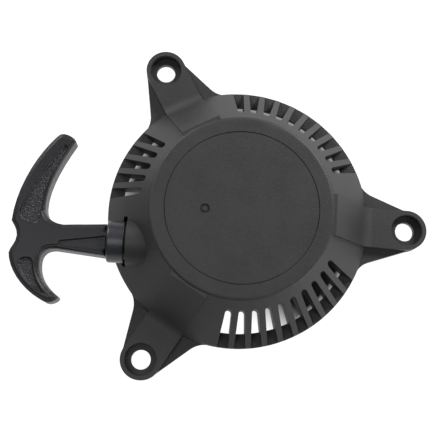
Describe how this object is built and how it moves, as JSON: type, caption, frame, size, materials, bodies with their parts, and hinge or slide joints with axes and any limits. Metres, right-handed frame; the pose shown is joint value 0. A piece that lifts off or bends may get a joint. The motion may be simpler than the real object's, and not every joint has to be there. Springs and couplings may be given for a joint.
{
  "type": "recoil starter",
  "caption": "Round pull-start unit for a small engine: vented black plastic case with bolt ears, side rope outlet and curved pull grip, rope reel, recoil spring and ratchet inside.",
  "frame": {"origin": "on the reel's axis, in the plane of the mounting pads that lie on the engine", "axes": "+Z along the reel's axis, away from the engine; the rope leaves towards -X, turned 2.5 degrees towards +Y; +Y is up with the grip to the left"},
  "size_m": [0.2015, 0.1639, 0.032],
  "materials": {
    "case_plastic": "moulded glass-filled nylon, black, fine texture",
    "grip_plastic": "moulded polypropylene, black, satin",
    "guide_plastic": "moulded acetal, dark grey, smooth",
    "reel_plastic": "moulded nylon, natural",
    "rope": "braided nylon cord",
    "spring_steel": "blued strip steel",
    "pressed_steel": "zinc plated pressed steel",
    "pawl_steel": "sintered steel",
    "brass": "turned brass"
  },
  "bodies": {
    "housing": {"starter_case": "case_plastic", "rope_guide": "guide_plastic", "rope_lead": "rope", "spring_case": "pressed_steel", "recoil_spring": "spring_steel", "post_insert": "brass", "friction_spring": "spring_steel", "thrust_washer": "pressed_steel", "centre_screw": "pressed_steel"},
    "handle": {"pull_grip": "grip_plastic", "grip_washer": "pressed_steel", "grip_knot": "rope", "rope_in_grip": "rope"},
    "reel": {"rope_reel": "reel_plastic", "rope_winding": "rope", "reel_knot": "rope", "pawl_spring_1": "spring_steel", "pawl_spring_2": "spring_steel"},
    "ratchet": {"ratchet_guide": "pressed_steel"},
    "pawl_1": {"ratchet_pawl_1": "pawl_steel"},
    "pawl_2": {"ratchet_pawl_2": "pawl_steel"}
  },
  "joints": [
    {"name": "handle_pull", "type": "slide", "parent": "housing", "child": "handle", "axis": [-0.999, 0.0436, 0], "range_m": [0, 0.68], "stiffness_N_per_m": 12.5, "springref_m": -0.4, "deforming": ["rope_lead", "rope_winding"]},
    {"name": "reel_spin", "type": "hinge", "parent": "housing", "child": "reel", "pos_m": [0, 0, 0], "axis": [0, 0, 1], "range_deg": [-1480, 0], "deforming": ["recoil_spring"]},
    {"name": "guide_turn", "type": "hinge", "parent": "reel", "child": "ratchet", "pos_m": [0, 0, 0], "axis": [0, 0, 1], "range_deg": [0, 20], "stiffness_Nm_per_rad": 0.01, "springref_deg": -11.46},
    {"name": "pawl_swing_1", "type": "hinge", "parent": "reel", "child": "pawl_1", "pos_m": [-0.01399, 0.0006, 0.0092], "axis": [0, 0, 1], "range_deg": [0, 30.5], "deforming": ["pawl_spring_1"]},
    {"name": "pawl_swing_2", "type": "hinge", "parent": "reel", "child": "pawl_2", "pos_m": [0.01399, -0.0006, 0.0092], "axis": [0, 0, 1], "range_deg": [0, 30.5], "deforming": ["pawl_spring_2"]}
  ],
  "couplings": [
    {"joint": "reel_spin", "follows": "handle_pull", "rad_per_m": -37.9},
    {"joint": "pawl_swing_1", "follows": "guide_turn", "ratio": 1.5},
    {"joint": "pawl_swing_2", "follows": "guide_turn", "ratio": 1.5}
  ]
}
